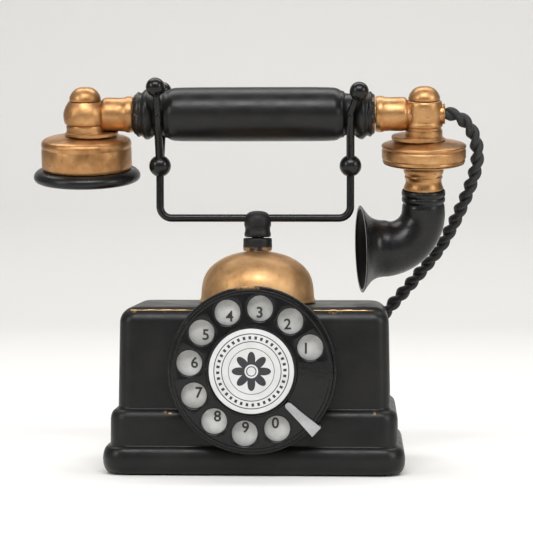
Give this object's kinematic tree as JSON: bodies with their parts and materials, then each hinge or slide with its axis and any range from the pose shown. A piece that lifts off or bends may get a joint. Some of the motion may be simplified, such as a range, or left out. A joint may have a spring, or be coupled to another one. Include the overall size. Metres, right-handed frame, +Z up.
{
  "type": "rotary telephone",
  "caption": "Old-style rotary desk telephone: stepped black casing, brass bell on top, sprung cradle with horned forks, dial, and a brass handset with a horn mouthpiece and a cord.",
  "frame": {"origin": "middle of the felt pad's underside, on the surface the telephone stands on", "axes": "+X runs along the handset from the receiver to the horn, +Y from the dial to the back, +Z up"},
  "size_m": [0.2356, 0.1218, 0.2003],
  "materials": {
    "black_paint": "satin",
    "gloss_black": "gloss",
    "bronze": "satin",
    "brass": "satin",
    "steel": "satin",
    "silver": "satin",
    "card": "matte",
    "felt": "matte",
    "copper": "satin",
    "insulation": "matte",
    "cord_black": "matte"
  },
  "bodies": {
    "base": {"casing": "black_paint", "base_plate": "steel", "felt_pad": "felt", "base_screw_1": "steel", "base_screw_2": "steel", "base_screw_3": "steel", "base_screw_4": "steel", "gong": "bronze", "guide_tube": "steel", "post_nut": "steel", "gong_collar": "black_paint", "hook_bracket": "steel", "hook_pin": "steel", "hook_contacts": "brass", "cradle_spring": "steel", "dial_case": "black_paint", "number_plate": "silver", "finger_stop": "silver", "dial_frame": "brass", "return_spring": "steel", "pulse_contacts": "brass", "ringer_frame": "steel", "ringer_coil_left": "copper", "ringer_coil_right": "copper", "induction_coil": "copper", "capacitor": "silver", "terminal_block": "insulation", "cord_gland": "bronze", "line_inlet": "gloss_black"},
    "dial": {"finger_wheel": "gloss_black", "number_card": "card", "card_bezel": "gloss_black", "dial_spindle": "steel", "main_gear": "brass"},
    "governor": {"governor_shaft": "steel", "pulse_cam": "insulation", "governor_drum": "steel"},
    "cradle": {"cradle_bar": "gloss_black", "left_fork": "gloss_black", "right_fork": "gloss_black", "cradle_stem": "black_paint"},
    "lever": {"hook_lever": "brass"},
    "ringer_arm": {"clapper": "steel"},
    "handset": {"handle_grip": "black_paint", "handle_tube": "brass", "receiver_arm": "bronze", "receiver_finial": "bronze", "receiver_cup": "bronze", "receiver_cap": "black_paint", "receiver_capsule": "steel", "transmitter_arm": "bronze", "transmitter_finial": "bronze", "transmitter_case": "bronze", "transmitter_cover": "bronze", "transmitter_capsule": "steel", "horn_neck": "bronze", "horn": "black_paint", "cord_bush": "bronze", "handset_cord": "cord_black"}
  },
  "joints": [
    {"name": "dial_turn", "type": "hinge", "parent": "base", "child": "dial", "pos_m": [0, -0.04, 0.0535], "axis": [0, 1, 0], "range_deg": [0, 320], "stiffness_Nm_per_rad": 0.004},
    {"name": "governor_spin", "type": "hinge", "parent": "base", "child": "governor", "pos_m": [-0.018, -0.03, 0.0535], "axis": [0, 1, 0], "range_deg": [-1600, 0]},
    {"name": "cradle_rise", "type": "slide", "parent": "base", "child": "cradle", "axis": [0, 0, 1], "range_m": [0, 0.006], "stiffness_N_per_m": 150, "springref_m": 0.012, "deforming": ["cradle_spring"]},
    {"name": "lever_turn", "type": "hinge", "parent": "base", "child": "lever", "pos_m": [0, 0.02, 0.06], "axis": [-1, 0, 0], "range_deg": [0, 20.7]},
    {"name": "clapper_swing", "type": "hinge", "parent": "base", "child": "ringer_arm", "pos_m": [0.038, 0.03, 0.0484], "axis": [0, 1, 0], "range_deg": [-3, 2.5]},
    {"name": "handset_lift", "type": "slide", "parent": "cradle", "child": "handset", "axis": [0, 0, 1], "range_m": [0, 0.016], "deforming": ["handset_cord"]}
  ],
  "couplings": [
    {"joint": "governor_spin", "follows": "dial_turn", "ratio": -5},
    {"joint": "lever_turn", "follows": "cradle_rise", "rad_per_m": 60}
  ]
}
